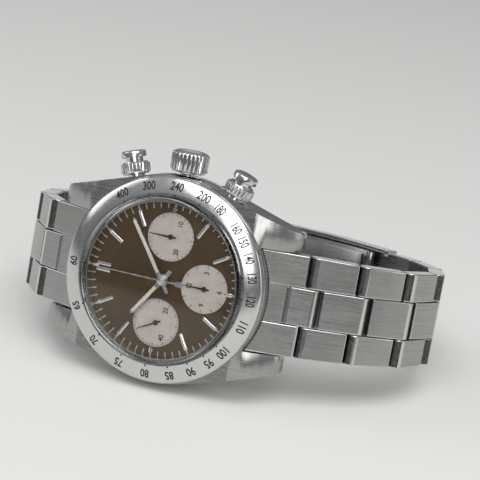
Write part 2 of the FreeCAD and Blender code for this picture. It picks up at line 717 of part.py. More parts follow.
def curved_plate(arc_low, arc_high, level_low, level_high, low, high):
    """A curved strip of the clasp, from z = low to z = high."""
    sweep = clasp_angle(arc_high) - clasp_angle(arc_low)
    base = CLASP_CENTRE + V(0, 0, low)
    solid = Part.makeCylinder(CLASP_R + level_high, high - low, base, Z_AXIS, sweep)
    solid = solid.cut(Part.makeCylinder(CLASP_R + level_low, high - low, base, Z_AXIS))
    solid.rotate(CLASP_CENTRE, Z_AXIS, clasp_angle(arc_low))
    return solid


def clasp_rod(radius, half_length, arc, level):
    centre = clasp_point(arc, level)
    return rod(radius, half_length, centre.x, centre.y)


def clasp_cover():
    """The channel over the folded blades, with micro-adjustment holes near its bar end."""
    low = -COVER_END
    high = COVER_HINGE_AT + COVER_END
    half = COVER_HALF_WIDTH
    hole_r = CLASP_PIN_R + 0.03
    body = curved_plate(low, high, COVER_TOP - COVER_PLATE, COVER_TOP, -half, half)
    walls = [curved_plate(low, high, COVER_SKIRT, COVER_TOP, z, z + COVER_WALL) for z in (-half, half - COVER_WALL)]
    body = body.fuse(walls).removeSplitter()
    for step in range(ADJUSTMENT_HOLES):
        body = body.cut(clasp_rod(hole_r, half + 1, ADJUSTMENT_PITCH * step, 0))
    return body.cut(clasp_rod(hole_r, half + 1, COVER_HINGE_AT, 0))


def blade_outer():
    """The blade next to the cover: hinged to it at the 12 o'clock end, and to the inner blade at the other."""
    half = OUTER_BLADE_HALF
    strip = curved_plate(BLADE_HINGE_ARC, COVER_HINGE_AT, OUTER_BLADE_LEVEL, OUTER_BLADE_LEVEL + BLADE, -half, half)
    gap = END_TUBE_HALF
    strip = strip.cut(curved_plate(0, BLADE_HINGE_ARC + BLADE_NECK, -2, 2, -gap, gap))
    knuckle = clasp_rod(KNUCKLE_R, half, BLADE_HINGE_ARC, BLADE_HINGE_LEVEL)
    knuckle = knuckle.cut(clasp_rod(KNUCKLE_R + 1, gap, BLADE_HINGE_ARC, BLADE_HINGE_LEVEL))
    barrel = clasp_rod(KNUCKLE_R, half, COVER_HINGE_AT, 0)
    body = strip.fuse([knuckle, barrel])
    body = body.cut(clasp_rod(CLASP_PIN_R + RUNNING_GAP, 10, BLADE_HINGE_ARC, BLADE_HINGE_LEVEL))
    return body.cut(clasp_rod(CLASP_PIN_R + RUNNING_GAP, 10, COVER_HINGE_AT, 0))


def blade_inner():
    """The blade next to the wrist; its end tube takes the spring bar of the last 12 o'clock link."""
    half = INNER_BLADE_HALF
    bend = CLASP_ARC - END_RISE
    strip = curved_plate(BLADE_HINGE_ARC, bend, INNER_BLADE_LEVEL, INNER_BLADE_LEVEL + BLADE, -half, half)
    inner = END_TUBE_HALF - 0.3
    for low, high in ((-10, -inner), (inner, 10)):
        strip = strip.cut(curved_plate(0, BLADE_HINGE_ARC + BLADE_NECK, -4, 2, low, high))
        strip = strip.cut(curved_plate(bend - END_NECK, bend + 1, -4, 2, low, high))
    knuckle = clasp_rod(KNUCKLE_R, inner, BLADE_HINGE_ARC, BLADE_HINGE_LEVEL)
    tube = clasp_rod(END_TUBE_R, END_TUBE_HALF, CLASP_ARC, 0)
    corners = [clasp_point(bend - 0.3, INNER_BLADE_LEVEL), clasp_point(bend - 0.3, INNER_BLADE_LEVEL + BLADE),
               clasp_point(CLASP_ARC - 0.8, 0.2), clasp_point(CLASP_ARC + 0.3, -0.9)]
    riser = slab([(corner.x, corner.y) for corner in corners], -inner, inner)
    body = strip.fuse([knuckle, tube, riser])
    body = body.cut(clasp_rod(CLASP_PIN_R + RUNNING_GAP, 10, BLADE_HINGE_ARC, BLADE_HINGE_LEVEL))
    return body.cut(clasp_rod(CLASP_PIN_R + RUNNING_GAP, 10, CLASP_ARC, 0))


def watch():
    """Every sub-part in the watch's frame, by node name."""
    three, six, nine = sub_dial_centres()
    parts = {
        "case_middle": case_middle(),
        "bezel": bezel(),
        "crystal": crystal(),
        "crystal_ring": crystal_ring(),
        "dial": dial(),
        "sub_dials": sub_dials(),
        "hour_markers": hour_markers(),
        "hour_hand": hour_hand(),
        "minute_hand": minute_hand(),
        "chrono_seconds_hand": chrono_seconds_hand(),
        "minute_counter_hand": counter_hand(0, three, SUB_ARBOR_END),
        "hour_counter_hand": counter_hand(0, six, SUB_ARBOR_END),
        "small_seconds_hand": counter_hand(SMALL_SECONDS_ANGLE, nine, ARBOR_END),
        "centre_wheel": centre_wheel(),
        "fourth_wheel": fourth_wheel(nine),
        "balance_wheel": balance_wheel(),
        "mainspring_barrel": mainspring_barrel(),
        "main_plate": main_plate(),
        "train_bridge": train_bridge(),
        "case_back": case_back(),
        "case_back_gasket": case_back_gasket(),
        "crown": crown(),
        "winding_stem": winding_stem(),
        "winding_pinion": winding_pinion(),
        "crown_tube": crown_tube(),
        "lug_link_6": laid(lug_link(), SIX_PIVOTS[0], SIX_HEADINGS[0], 1),
        "lug_link_12": laid(lug_link(), TWELVE_PIVOTS[0], TWELVE_HEADINGS[0], -1),
        "end_link_6": end_link(SIX_HEADINGS[0], 1),
        "end_link_12": end_link(TWELVE_HEADINGS[0], -1),
        "lug_bar_6": lug_bar(1),
        "lug_bar_12": lug_bar(-1),
        "clasp_cover": clasp_cover(),
        "clasp_spring_bar": clasp_rod(CLASP_PIN_R, COVER_HALF_WIDTH - 0.1, 0, 0),
        "cover_hinge_pin": clasp_rod(CLASP_PIN_R, COVER_HALF_WIDTH - 0.1, COVER_HINGE_AT, 0),
        "blade_outer": blade_outer(),
        "blade_hinge_pin": clasp_rod(CLASP_PIN_R, OUTER_BLADE_HALF, BLADE_HINGE_ARC, BLADE_HINGE_LEVEL),
        "blade_inner": blade_inner(),
        "end_spring_bar": clasp_rod(CLASP_PIN_R, END_TUBE_HALF, CLASP_ARC, 0),
    }
    for name, wheel in train_arbors().items():
        parts[name] = train_wheel(*wheel)
    for name, side in (("start", -1), ("reset", 1)):
        parts[name + "_pusher_tube"] = pusher_tube(side)
        parts[name + "_pusher_sleeve"] = pusher_sleeve(side)
        parts[name + "_pusher_button"] = pusher_button(side)
        parts[name + "_pusher_spring"] = pusher_spring(side)
    for name, side, headings, pivots_found in (("link_6_", 1, SIX_HEADINGS, SIX_PIVOTS),
                                               ("link_12_", -1, TWELVE_HEADINGS, TWELVE_PIVOTS)):
        for index in range(1, LINK_COUNT + 1):
            parts[name + str(index)] = laid(link(index, side), pivots_found[index], headings[index], side)
    return parts


# Resting on its side: the case's 9 o'clock flank and the clasp cover's lower edge touch the floor.

def lean_angle():
    """The tilt about x that sets the flank's edge and the lowest clasp edge level."""
    far = clasp_point(CLASP_ARC / 2, COVER_TOP)
    return math.degrees(math.atan2(CASE_R - COVER_HALF_WIDTH, far.y - CASE_FLANK_END))


LEAN = lean_angle()


def resting_placement(parts):
    """Leans the watch back, then centres its box on the origin, standing on z = 0."""
    turn = FreeCAD.Placement(V(0, 0, 0), FreeCAD.Rotation(X_AXIS, -LEAN))
    whole = Part.makeCompound([shape.copy() for shape in parts.values()])
    whole.Placement = turn
    box = whole.optimalBoundingBox(False, False)
    return FreeCAD.Placement(V(-box.Center.x, -box.Center.y, -box.ZMin), turn.Rotation)


PARTS = watch()
PLACEMENT = resting_placement(PARTS)


def main():
    os.makedirs("parts", exist_ok=True)
    for name, shape in PARTS.items():
        shape.Placement = PLACEMENT.multiply(shape.Placement)
        shape.exportStep("parts/" + name + ".step")


main()
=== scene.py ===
import json
import math

import bmesh
import bpy
from mathutils import Matrix, Vector


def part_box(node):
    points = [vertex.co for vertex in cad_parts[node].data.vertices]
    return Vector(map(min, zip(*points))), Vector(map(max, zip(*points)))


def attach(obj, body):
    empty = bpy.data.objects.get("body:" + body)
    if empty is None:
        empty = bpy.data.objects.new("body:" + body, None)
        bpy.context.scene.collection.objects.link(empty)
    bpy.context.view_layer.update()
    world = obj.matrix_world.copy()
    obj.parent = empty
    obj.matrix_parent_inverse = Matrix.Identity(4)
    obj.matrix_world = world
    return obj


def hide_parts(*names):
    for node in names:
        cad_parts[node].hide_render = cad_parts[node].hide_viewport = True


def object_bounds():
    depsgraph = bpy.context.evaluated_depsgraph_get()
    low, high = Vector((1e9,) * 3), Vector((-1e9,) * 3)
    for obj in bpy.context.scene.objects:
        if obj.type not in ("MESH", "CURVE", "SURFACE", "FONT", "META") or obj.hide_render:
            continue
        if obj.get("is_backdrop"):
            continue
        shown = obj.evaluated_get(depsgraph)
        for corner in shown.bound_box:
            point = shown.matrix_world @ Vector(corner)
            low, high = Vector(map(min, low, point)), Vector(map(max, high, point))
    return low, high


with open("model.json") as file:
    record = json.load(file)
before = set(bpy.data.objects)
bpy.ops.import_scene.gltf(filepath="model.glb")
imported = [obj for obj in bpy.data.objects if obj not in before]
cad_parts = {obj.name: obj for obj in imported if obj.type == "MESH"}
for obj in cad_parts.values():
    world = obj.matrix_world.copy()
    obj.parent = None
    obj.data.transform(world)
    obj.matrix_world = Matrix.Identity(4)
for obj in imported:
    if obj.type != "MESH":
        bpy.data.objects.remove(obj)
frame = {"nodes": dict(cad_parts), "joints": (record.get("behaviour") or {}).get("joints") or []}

# The looks of a steel chronograph on its link bracelet. Meshes are drawn in millimetres in the
# watch's own frame (x to 6 o'clock, y to the wrist, z to 3 o'clock) and then placed in the row frame.

CAD_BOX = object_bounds()
MM = 0.001
JOINTS = {joint["name"]: joint for joint in frame["joints"]}
NODES = frame["nodes"]

# Case and dial, in millimetres, as in the CAD.
BEZEL_R = 19.1
BEZEL_BORE_R = 15.5
BEZEL_INNER_TOP_R = 16.1
BEZEL_OUTER_TOP_R = 18.6
BEZEL_TOP = -4.2
BEZEL_SHOULDER = -3.2
CASE_TOP = -2.0
CRYSTAL_R = 15.3
DIAL_TOP = -2.2
DIAL_BACK = -1.8
COUNTER_LEVEL = DIAL_TOP + 0.12
FLANGE_R = 14.1
SUB_DIAL_R = 4.5
SUB_DIAL_OFFSET = 8.0
MARKER_INNER_R = 10.3
MARKER_OUTER_R = 13.0
MARKER_TOP = -2.6
HOUR_ANGLE = 304.5
MINUTE_ANGLE = 54.0
SMALL_SECONDS_ANGLE = 332.0
COUNTER_ANGLES = (90, 180, 270)
SPEED_NUMBERS = (400, 300, 240, 200, 180, 160, 150, 140, 130, 120,
                 110, 100, 95, 90, 85, 80, 75, 70, 65, 60)

# Hands, crown and pushers, in millimetres. Levels are y values, and the hands' as in the CAD.
HOUR_HAND_LEVEL = -2.95
MINUTE_HAND_LEVEL = -3.3
CHRONO_HAND_LEVEL = -3.65
SUB_HAND_LEVEL = -2.4
HOUR_HAND_LENGTH = 8.8
MINUTE_HAND_LENGTH = 12.6
CHRONO_HAND_LENGTH = 13.4
SUB_HAND_LENGTH = 3.7
SUB_HAND_TAIL = 1.0
HAND_BORE_R = 0.39
CROWN_LEVEL = 0.9
CROWN_FLUTES = 26
SLEEVE_FLUTES = 22

# Bracelet, in millimetres.
LINK_HALF = 1.5
LINK_GAP = 0.2
ROW_GAP = 0.1
CENTRE_HALF_WIDTH = 3.5
WIDTH_AT_LUG = 9.4
WIDTH_AT_CLASP = 8.0
LINK_COUNT = 6
LUG_LOOP_R = 1.3
LAST_LINK_CUT = 3.4
LINK_DOME = 0.2
LINK_BEVEL = 0.22
POLISHED_END = 0.8
CASE_ROUND_R = 19.46
END_LINK_ROOT = (16.4, -1.35)
END_LINK_BACK = 4.9


def watch_frame():
    """The watch's own frame, from the axes of its minute hand and crown."""
    y = Vector(JOINTS["minute_spin"]["axis"])
    z = Vector(JOINTS["crown_spin"]["axis"])
    turn = Matrix((y.cross(z), y, z)).transposed().to_4x4()
    return Matrix.Translation(Vector(JOINTS["minute_spin"]["pos_m"])) @ turn


WATCH = watch_frame()
ACROSS = Vector(JOINTS["crown_spin"]["axis"])


# Materials.

class Shader:
    """A Principled material and shorthand for the nodes that feed it. Lengths are in millimetres."""

    def __init__(self, name, colour, metallic=0.0, roughness=0.5):
        self.material = bpy.data.materials.new(name)
        self.material.use_nodes = True
        self.tree = self.material.node_tree
        self.bsdf = self.tree.nodes["Principled BSDF"]
        self.bsdf.inputs["Base Color"].default_value = (*colour, 1)
        self.bsdf.inputs["Metallic"].default_value = metallic
        self.bsdf.inputs["Roughness"].default_value = roughness

    def node(self, kind, **values):
        node = self.tree.nodes.new(kind)
        for key, value in values.items():
            setattr(node, key, value)
        return node

    def link(self, source, target):
        self.tree.links.new(source, target)

    def place(self, stretch=(1, 1, 1), turn=None):
        """Millimetres in the watch's frame at rest, stretched along each axis. Turn gives other Euler angles
        from the row frame."""
        coordinates = self.node("ShaderNodeTexCoord")
        mapping = self.node("ShaderNodeMapping", vector_type="TEXTURE")
        mapping.inputs["Location"].default_value = WATCH.to_translation()
        mapping.inputs["Rotation"].default_value = turn or WATCH.to_euler()
        mapping.inputs["Scale"].default_value = [MM / factor for factor in stretch]
        self.link(coordinates.outputs["Object"], mapping.inputs["Vector"])
        return mapping.outputs["Vector"]

    def noise(self, where, scale, detail=4.0, distortion=0.0, roughness=0.6):
        noise = self.node("ShaderNodeTexNoise")
        noise.inputs["Scale"].default_value = scale
        noise.inputs["Detail"].default_value = detail
        noise.inputs["Roughness"].default_value = roughness
        noise.inputs["Distortion"].default_value = distortion
        self.link(where, noise.inputs["Vector"])
        return noise.outputs["Fac"]

    def spread(self, value, low, high, start=0.3, end=0.7):
        """Maps a texture value from start..end to low..high."""
        spread = self.node("ShaderNodeMapRange")
        for name, number in (("From Min", start), ("From Max", end), ("To Min", low), ("To Max", high)):
            spread.inputs[name].default_value = number
        self.link(value, spread.inputs["Value"])
        return spread.outputs["Result"]

    def blend(self, value, dark, light):
        """Two colours mixed by a value, into the base colour."""
        mix = self.node("ShaderNodeMix", data_type="RGBA")
        mix.inputs["A"].default_value = (*dark, 1)
        mix.inputs["B"].default_value = (*light, 1)
        self.link(value, mix.inputs["Factor"])
        self.link(mix.outputs["Result"], self.bsdf.inputs["Base Color"])

    def add(self, first, second):
        node = self.node("ShaderNodeMath", operation="ADD")
        self.link(first, node.inputs[0])
        self.link(second, node.inputs[1])
        return node.outputs["Value"]

    def roughness(self, value):
        self.link(value, self.bsdf.inputs["Roughness"])

    def bump(self, value, depth, strength):
        bump = self.node("ShaderNodeBump")
        bump.inputs["Strength"].default_value = strength
        bump.inputs["Distance"].default_value = depth * MM
        self.link(value, bump.inputs["Height"])
        self.link(bump.outputs["Normal"], self.bsdf.inputs["Normal"])


STEEL = (0.62, 0.62, 0.61)


def brushed_steel():
    """Satin steel with fine lines along the bracelet, wherever it bends: they change only across it."""
    shader = Shader("brushed_steel", STEEL, 1.0, 0.34)
    lines = shader.noise(shader.place((0.1, 0.1, 9.0)), 1.0, 5.0, roughness=0.75)
    smudge = shader.noise(shader.place(), 0.16, 2.0)
    shader.blend(shader.spread(lines, 0, 1), (0.29, 0.29, 0.285), (0.47, 0.47, 0.46))
    shader.roughness(shader.add(shader.spread(lines, 0.20, 0.34), shader.spread(smudge, -0.03, 0.04)))
    shader.bump(lines, 0.008, 0.45)
    return shader.material


def groove_steel():
    """Painted shade: dull dark steel down in the joints of the bracelet, its dark, mottled colour standing in
    for the shadow there.
    """
    shader = Shader("groove_steel", (0.12, 0.12, 0.118), 1.0, 0.4)
    shade_mottle = shader.noise(shader.place(), 2.0, 5.0)
    shader.blend(shader.spread(shade_mottle, 0, 1), (0.05, 0.05, 0.048), (0.16, 0.158, 0.15))
    shader.roughness(shader.spread(shade_mottle, 0.32, 0.5))
    shader.bump(shade_mottle, 0.006, 0.4)
    return shader.material


def polished_steel(name="polished_steel", roughness=0.1):
    """Mirror steel with hairlines and a little handling haze."""
    shader = Shader(name, STEEL, 1.0, roughness)
    haze = shader.noise(shader.place(), 0.5, 4.0)
    hairlines = shader.noise(shader.place((0.6, 3.0, 14.0), (0.4, 0.9, 0.3)), 1.0, 6.0, 1.2)
    shader.roughness(shader.add(shader.spread(haze, 0.6 * roughness, 1.6 * roughness),
                                shader.spread(hairlines, 0, 0.08, 0.55, 0.75)))
    shader.bump(hairlines, 0.003, 0.3)
    return shader.material


def lacquer(name, dark, light, roughness, grain=6.0, coat=0.0, bump=0.004):
    """Paint or print with a fine grain and slow colour drift."""
    shader = Shader(name, light, 0.0, roughness)
    drift = shader.noise(shader.place(), 0.22, 3.0)
    fine = shader.noise(shader.place(), grain, 4.0)
    shader.blend(shader.spread(drift, 0, 1), dark, light)
    shader.roughness(shader.spread(fine, roughness * 0.85, roughness * 1.2))
    shader.bump(fine, bump, 0.4)
    shader.bsdf.inputs["Coat Weight"].default_value = coat
    shader.bsdf.inputs["Coat Roughness"].default_value = 0.12
    return shader.material


def counter_paint():
    """Cream paint with fine turned rings about the dial's centre."""
    shader = Shader("counter_cream", (0.62, 0.56, 0.51), 0.0, 0.45)
    where = shader.place()
    wave = shader.node("ShaderNodeTexWave", wave_type="RINGS", rings_direction="Y", wave_profile="SIN")
    wave.inputs["Scale"].default_value = 2.2
    wave.inputs["Distortion"].default_value = 0.0
    shader.link(where, wave.inputs["Vector"])
    drift = shader.noise(where, 0.5, 5.0)
    shader.blend(shader.spread(drift, 0, 1), (0.60, 0.54, 0.49), (0.72, 0.66, 0.61))
    shader.bump(wave.outputs["Fac"], 0.01, 0.35)
    return shader.material


def brass(name, colour):
    """Gilt brass with turned circular graining."""
    shader = Shader(name, colour, 1.0, 0.28)
    grain = shader.noise(shader.place((1, 8, 1)), 3.0, 4.0)
    shader.blend(shader.spread(grain, 0, 1), [0.8 * part for part in colour], colour)
    shader.roughness(shader.spread(grain, 0.22, 0.36))
    shader.bump(grain, 0.004, 0.3)
    return shader.material


def crystal_glass():
    """Clear acrylic: reflection over a see-through body."""
    shader = Shader("crystal", (1, 1, 1), 0.0, 0.02)
    shader.bsdf.inputs["Transmission Weight"].default_value = 1.0
    shader.bsdf.inputs["IOR"].default_value = 1.33
    shader.bsdf.inputs["Specular IOR Level"].default_value = 0.16
    scratches = shader.noise(shader.place((0.4, 2.0, 6.0), (0.2, 0.5, 0.8)), 1.0, 6.0, 1.5)
    shader.roughness(shader.spread(scratches, 0.0, 0.012, 0.6, 0.8))
    return shader.material


def rubber():
    """Matt black rubber with a fine grain."""
    shader = Shader("gasket_rubber", (0.03, 0.03, 0.03), 0.0, 0.6)
    grain = shader.noise(shader.place(), 12.0, 4.0)
    shader.roughness(shader.spread(grain, 0.5, 0.7))
    shader.bump(grain, 0.01, 0.5)
    return shader.material


BRUSHED = brushed_steel()
POLISHED = polished_steel()
HAND_STEEL = polished_steel("hand_steel", 0.22)
# The joints' dark material is painted shade: a dark base colour standing in for the shadow down in the
# bracelet's joints.
PAINTED_JOINT_SHADE = groove_steel()
DIAL_BROWN = lacquer("dial_brown", (0.056, 0.028, 0.005), (0.092, 0.050, 0.010), 0.42, grain=2.4, bump=0.0006)
PRINT_CREAM = lacquer("print_cream", (0.60, 0.53, 0.42), (0.70, 0.63, 0.52), 0.5)
LUME = lacquer("lume", (0.80, 0.75, 0.63), (0.88, 0.84, 0.73), 0.6, grain=14.0, bump=0.008)
BLACK_FILL = lacquer("black_fill", (0.006, 0.006, 0.006), (0.014, 0.014, 0.013), 0.42)
BLACK_HANDS = lacquer("black_hands", (0.004, 0.004, 0.004), (0.012, 0.011, 0.010), 0.25, grain=8.0, coat=0.6)
COUNTER = counter_paint()
CRYSTAL = crystal_glass()
GILT = brass("gilt_brass", (0.78, 0.58, 0.28))
PLATED = brass("plated_brass", (0.62, 0.59, 0.50))
RUBBER = rubber()

# A link's materials, by number: its sides are brushed, its ends polished, and its joints painted dark with
# painted shade.
LINK_FINISHES_AND_SHADE = [BRUSHED, POLISHED, PAINTED_JOINT_SHADE]


# Mesh building.

def finished(name, verts, faces, materials, marks=None):
    """A mesh in metres from millimetre points; marks gives each face its material number."""
    mesh = bpy.data.meshes.new(name)
    mesh.from_pydata([tuple(MM * value for value in vert) for vert in verts], [], faces)
    for material in materials:
        mesh.materials.append(material)
    if marks:
        for polygon, mark in zip(mesh.polygons, marks):
            polygon.material_index = mark
    tidy(mesh)
    return mesh


def tidy(mesh, join=1e-7):
    """Merges doubled points and turns every face outwards."""
    work = bmesh.new()
    work.from_mesh(mesh)
    bmesh.ops.remove_doubles(work, verts=work.verts, dist=join)
    bmesh.ops.recalc_face_normals(work, faces=work.faces)
    work.to_mesh(mesh)
    work.free()
    mesh.shade_smooth()
    mesh.set_sharp_from_angle(angle=math.radians(32))


def lathe(name, outline, materials, segments=192, marks=None, open_outline=False):
    """Turns (radius, y) points about y. The outline closes on itself, unless it is open, with both ends on
    the axis. Marks gives the material number of each stretch."""
    verts = []
    for radius, depth in outline:
        for step in range(segments):
            turn = 2 * math.pi * step / segments
            verts.append((radius * math.cos(turn), depth, radius * math.sin(turn)))
    rows = len(outline) - 1 if open_outline else len(outline)
    faces = []
    numbers = []
    for row in range(rows):
        low = row * segments
        high = (row + 1) % len(outline) * segments
        for step in range(segments):
            after = (step + 1) % segments
            faces.append((low + step, low + after, high + after, high + step))
            numbers.append(marks[row] if marks else 0)
    return finished(name, verts, faces, materials, numbers)


def capped(count):
    """The faces between two outlines of count points each: one for each stretch, then the two ends."""
    sides = [(i, (i + 1) % count, (i + 1) % count + count, i + count) for i in range(count)]
    return sides + [tuple(range(count)), tuple(range(count, 2 * count))]


def prism(name, outline, low, high, materials, spans=()):
    """An (x, y) outline between z = low(x) and z = high(x). Its two ends take material 1. A stretch of the
    outline whose middle x lies in one of the spans (from, to, material) takes that material, and others
    take 0."""
    count = len(outline)
    verts = [(x, y, low(x)) for x, y in outline] + [(x, y, high(x)) for x, y in outline]
    middles = [(outline[i][0] + outline[(i + 1) % count][0]) / 2 for i in range(count)]
    marks = [sum(mark for start, end, mark in spans if start < x < end) for x in middles] + [1, 1]
    return finished(name, verts, capped(count), materials, marks)


def slab(name, outline, top, bottom, materials):
    """An (x, z) outline between y = top and y = bottom."""
    verts = [(x, top, z) for x, z in outline] + [(x, bottom, z) for x, z in outline]
    return finished(name, verts, capped(len(outline)), materials)


def joined(name, meshes, materials):
    """Several meshes as one, keeping their material numbers."""
    work = bmesh.new()
    for mesh in meshes:
        work.from_mesh(mesh)
    result = bpy.data.meshes.new(name)
    work.to_mesh(result)
    work.free()
    for mesh in meshes:
        bpy.data.meshes.remove(mesh)
    for material in materials:
        result.materials.append(material)
    return result


def arc(centre, radius, start, end, steps):
    """Points round part of a circle, angles in degrees."""
    points = []
    for step in range(steps + 1):
        turn = math.radians(start + (end - start) * step / steps)
        points.append((centre[0] + radius * math.cos(turn), centre[1] + radius * math.sin(turn)))
    return points


def piece(name, mesh, body, place=WATCH, nodes=(), bevel=0.0, bevel_material=-1, segments=3):
    """Puts a mesh where it goes in the row frame, makes it ride on a body, and rounds its sharp edges by
    bevel millimetres."""
    mesh.transform(place)
    obj = bpy.data.objects.new(name, mesh)
    bpy.context.scene.collection.objects.link(obj)
    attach(obj, body)
    if nodes:
        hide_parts(*nodes)
    if bevel:
        soften(obj, bevel, bevel_material, segments)
    return obj


def soften(obj, width, material=-1, segments=3):
    """Rounds edges sharper than 35 degrees."""
    rounding = obj.modifiers.new("rounded edges", "BEVEL")
    rounding.width = width * MM
    rounding.segments = segments
    rounding.limit_method = "ANGLE"
    rounding.angle_limit = math.radians(35)
    rounding.material = material
    rounding.harden_normals = True
    rounding.use_clamp_overlap = True


def spot(angle, radius):
    """The (x, z) place at a clock angle, clockwise from 12 seen from the dial side."""
    turn = math.radians(angle)
    return -radius * math.cos(turn), radius * math.sin(turn)


def shift(x, z):
    """Moves a shape from the dial's centre to a place on the dial, in millimetres."""
    return Matrix.Translation(Vector((x * MM, 0, z * MM)))


def clock(angle):
    """Turns a shape drawn pointing at 12 to a clock angle."""
    return Matrix.Rotation(math.radians(angle), 4, "Y")


def lettering(text, height, weight, squeeze):
    """The mesh of a number, centred, x to its right and y up, in metres. Weight thickens its strokes, and
    squeeze narrows it."""
    depth = 0.03
    curve = bpy.data.curves.new("lettering", "FONT")
    curve.body = text
    curve.size = height * 1.38 * MM
    curve.extrude = depth * MM / 2
    curve.offset = weight * MM
    curve.align_x = "CENTER"
    curve.align_y = "CENTER"
    curve.resolution_u = 4
    holder = bpy.data.objects.new("lettering", curve)
    bpy.context.scene.collection.objects.link(holder)
    bpy.context.view_layer.update()
    mesh = bpy.data.meshes.new_from_object(holder.evaluated_get(bpy.context.evaluated_depsgraph_get()))
    bpy.data.objects.remove(holder)
    bpy.data.curves.remove(curve)
    mesh.transform(Matrix.Diagonal((squeeze, 1, 1, 1)))
    return mesh


def stand(mesh, right, up, at):
    """Lays lettering with its right and up directions on a point in the watch's frame, millimetres."""
    right = Vector(right).normalized()
    up = Vector(up).normalized()
    out = right.cross(up)
    turn = Matrix((right, up, out)).transposed().to_4x4()
    mesh.transform(Matrix.Translation(Vector(at) * MM) @ turn)
    return mesh


# Bezel and crystal.

def bezel():
    """The bezel ring: satin where its numbers are, polished elsewhere."""
    outline = [(BEZEL_BORE_R, CASE_TOP), (BEZEL_R - 0.15, CASE_TOP), (BEZEL_R, CASE_TOP - 0.15),
               (BEZEL_R, -2.5), (BEZEL_R - 0.08, -2.75), (BEZEL_R - 0.25, -3.0),
               (BEZEL_OUTER_TOP_R, BEZEL_SHOULDER),
               (BEZEL_INNER_TOP_R, BEZEL_TOP + 0.02), (BEZEL_INNER_TOP_R - 0.12, BEZEL_TOP),
               (BEZEL_BORE_R + 0.12, BEZEL_TOP), (BEZEL_BORE_R, BEZEL_TOP + 0.12)]
    marks = [1, 1, 1, 1, 1, 1, 0, 1, 1, 1, 1]
    shader = Shader("bezel_satin", STEEL, 1.0, 0.2)
    grain = shader.noise(shader.place(), 1.2, 5.0)
    shader.roughness(shader.spread(grain, 0.14, 0.24))
    shader.bump(grain, 0.003, 0.3)
    mesh = lathe("bezel_ring", outline, [shader.material, POLISHED], 256, marks)
    piece("bezel_ring", mesh, "case", nodes=["bezel"])
    speed_scale()


def speed_scale():
    """Black-filled speed numbers, each with a dot on its inner side: N stands at 3600 / N seconds. The
    three-figure ones that stand closest together are squeezed more."""
    number_height = 1.65
    number_weight = 0.05
    slope = math.atan2(BEZEL_SHOULDER - BEZEL_TOP, BEZEL_OUTER_TOP_R - BEZEL_INNER_TOP_R)
    radius = (BEZEL_INNER_TOP_R + BEZEL_OUTER_TOP_R) / 2
    depth = (BEZEL_SHOULDER + BEZEL_TOP) / 2
    meshes = []
    for number in SPEED_NUMBERS:
        angle = 360 * 60 / number
        turn = math.radians(angle)
        right = (math.sin(turn), 0, math.cos(turn))
        up = (-math.cos(turn) * math.cos(slope), math.sin(slope), math.sin(turn) * math.cos(slope))
        x, z = spot(angle, radius)
        squeeze = 0.62 if 110 < number < 190 else 0.74
        word = lettering(str(number), number_height, number_weight, squeeze)
        meshes.append(stand(word, right, up, (x, depth - 0.005, z)))
        x, z = spot(angle, BEZEL_BORE_R + 0.32)
        dot = lathe("dot", [(0, BEZEL_TOP - 0.012), (0.17, BEZEL_TOP - 0.012), (0.17, BEZEL_TOP + 0.02),
                            (0, BEZEL_TOP + 0.02)], [BLACK_FILL], 16, open_outline=True)
        dot.transform(shift(x, z))
        meshes.append(dot)
    piece("speed_numbers", joined("speed_numbers", meshes, [BLACK_FILL]), "case")


def crystal():
    """The acrylic dome: a shallow sphere with a rounded shoulder, hollow beneath."""
    steps = 18

    def dome(edge_r, edge_y, crown_y):
        rise = edge_y - crown_y
        sphere_r = (edge_r ** 2 + rise ** 2) / (2 * rise)
        return [(edge_r * i / steps, crown_y + sphere_r - math.sqrt(sphere_r ** 2 - (edge_r * i / steps) ** 2))
                for i in range(steps + 1)]

    outside = dome(14.2, -5.05, -6.0) + arc((14.75, -4.5), 0.53, -78, 0, 6)
    wall = [(CRYSTAL_R - 0.02, -2.1), (15.08, -2.02), (15.08, -2.72), (14.62, -2.72)]
    inside = dome(14.6, -4.1, -5.0)[::-1]
    mesh = lathe("crystal_dome", outside + wall + inside, [CRYSTAL], 160, open_outline=True)
    piece("crystal_dome", mesh, "case", nodes=["crystal"])


# Dial.

def dial_plate():
    """The brown plate, and a low rim of the same brown round each counter."""
    NODES["dial"].data.materials.clear()
    NODES["dial"].data.materials.append(DIAL_BROWN)
    outer = SUB_DIAL_R + 0.06
    inner = SUB_DIAL_R - 0.05
    top = DIAL_TOP - 0.03
    bottom = DIAL_TOP + 0.1
    rims = []
    for angle in COUNTER_ANGLES:
        rim = lathe("rim", [(outer, top), (outer, bottom), (inner, bottom), (inner, top)], [DIAL_BROWN], 128)
        rim.transform(shift(*spot(angle, SUB_DIAL_OFFSET)))
        rims.append(rim)
    piece("counter_rims", joined("counter_rims", rims, [DIAL_BROWN]), "case")


def counter_faces():
    """The three cream counters, sunk a little into the dial, each with a hole for its hand."""
    edge = SUB_DIAL_R - 0.02
    outline = [(0.3, COUNTER_LEVEL), (SUB_DIAL_R - 0.5, COUNTER_LEVEL), (edge, COUNTER_LEVEL - 0.02),
               (edge, DIAL_BACK), (0.3, DIAL_BACK)]
    for angle in COUNTER_ANGLES:
        name = "counter_face_" + str(angle // 30)
        mesh = lathe(name, outline, [COUNTER], 128)
        place = WATCH @ shift(*spot(angle, SUB_DIAL_OFFSET))
        piece(name, mesh, "case", place, nodes=["sub_dials"])


def tick(angle, inner, outer, width, top, centre=(0, 0)):
    """The eight corners of a printed stroke along a radius, a thin block."""
    turn = math.radians(angle)
    out = Vector((-math.cos(turn), 0, math.sin(turn)))
    along = Vector((math.sin(turn), 0, math.cos(turn)))
    base = Vector((centre[0], 0, centre[1]))
    corners = []
    for depth in (top, top + 0.02):
        for radius, side in ((inner, -1), (inner, 1), (outer, 1), (outer, -1)):
            point = base + out * radius + along * (side * width / 2)
            corners.append((point.x, depth, point.z))
    return corners


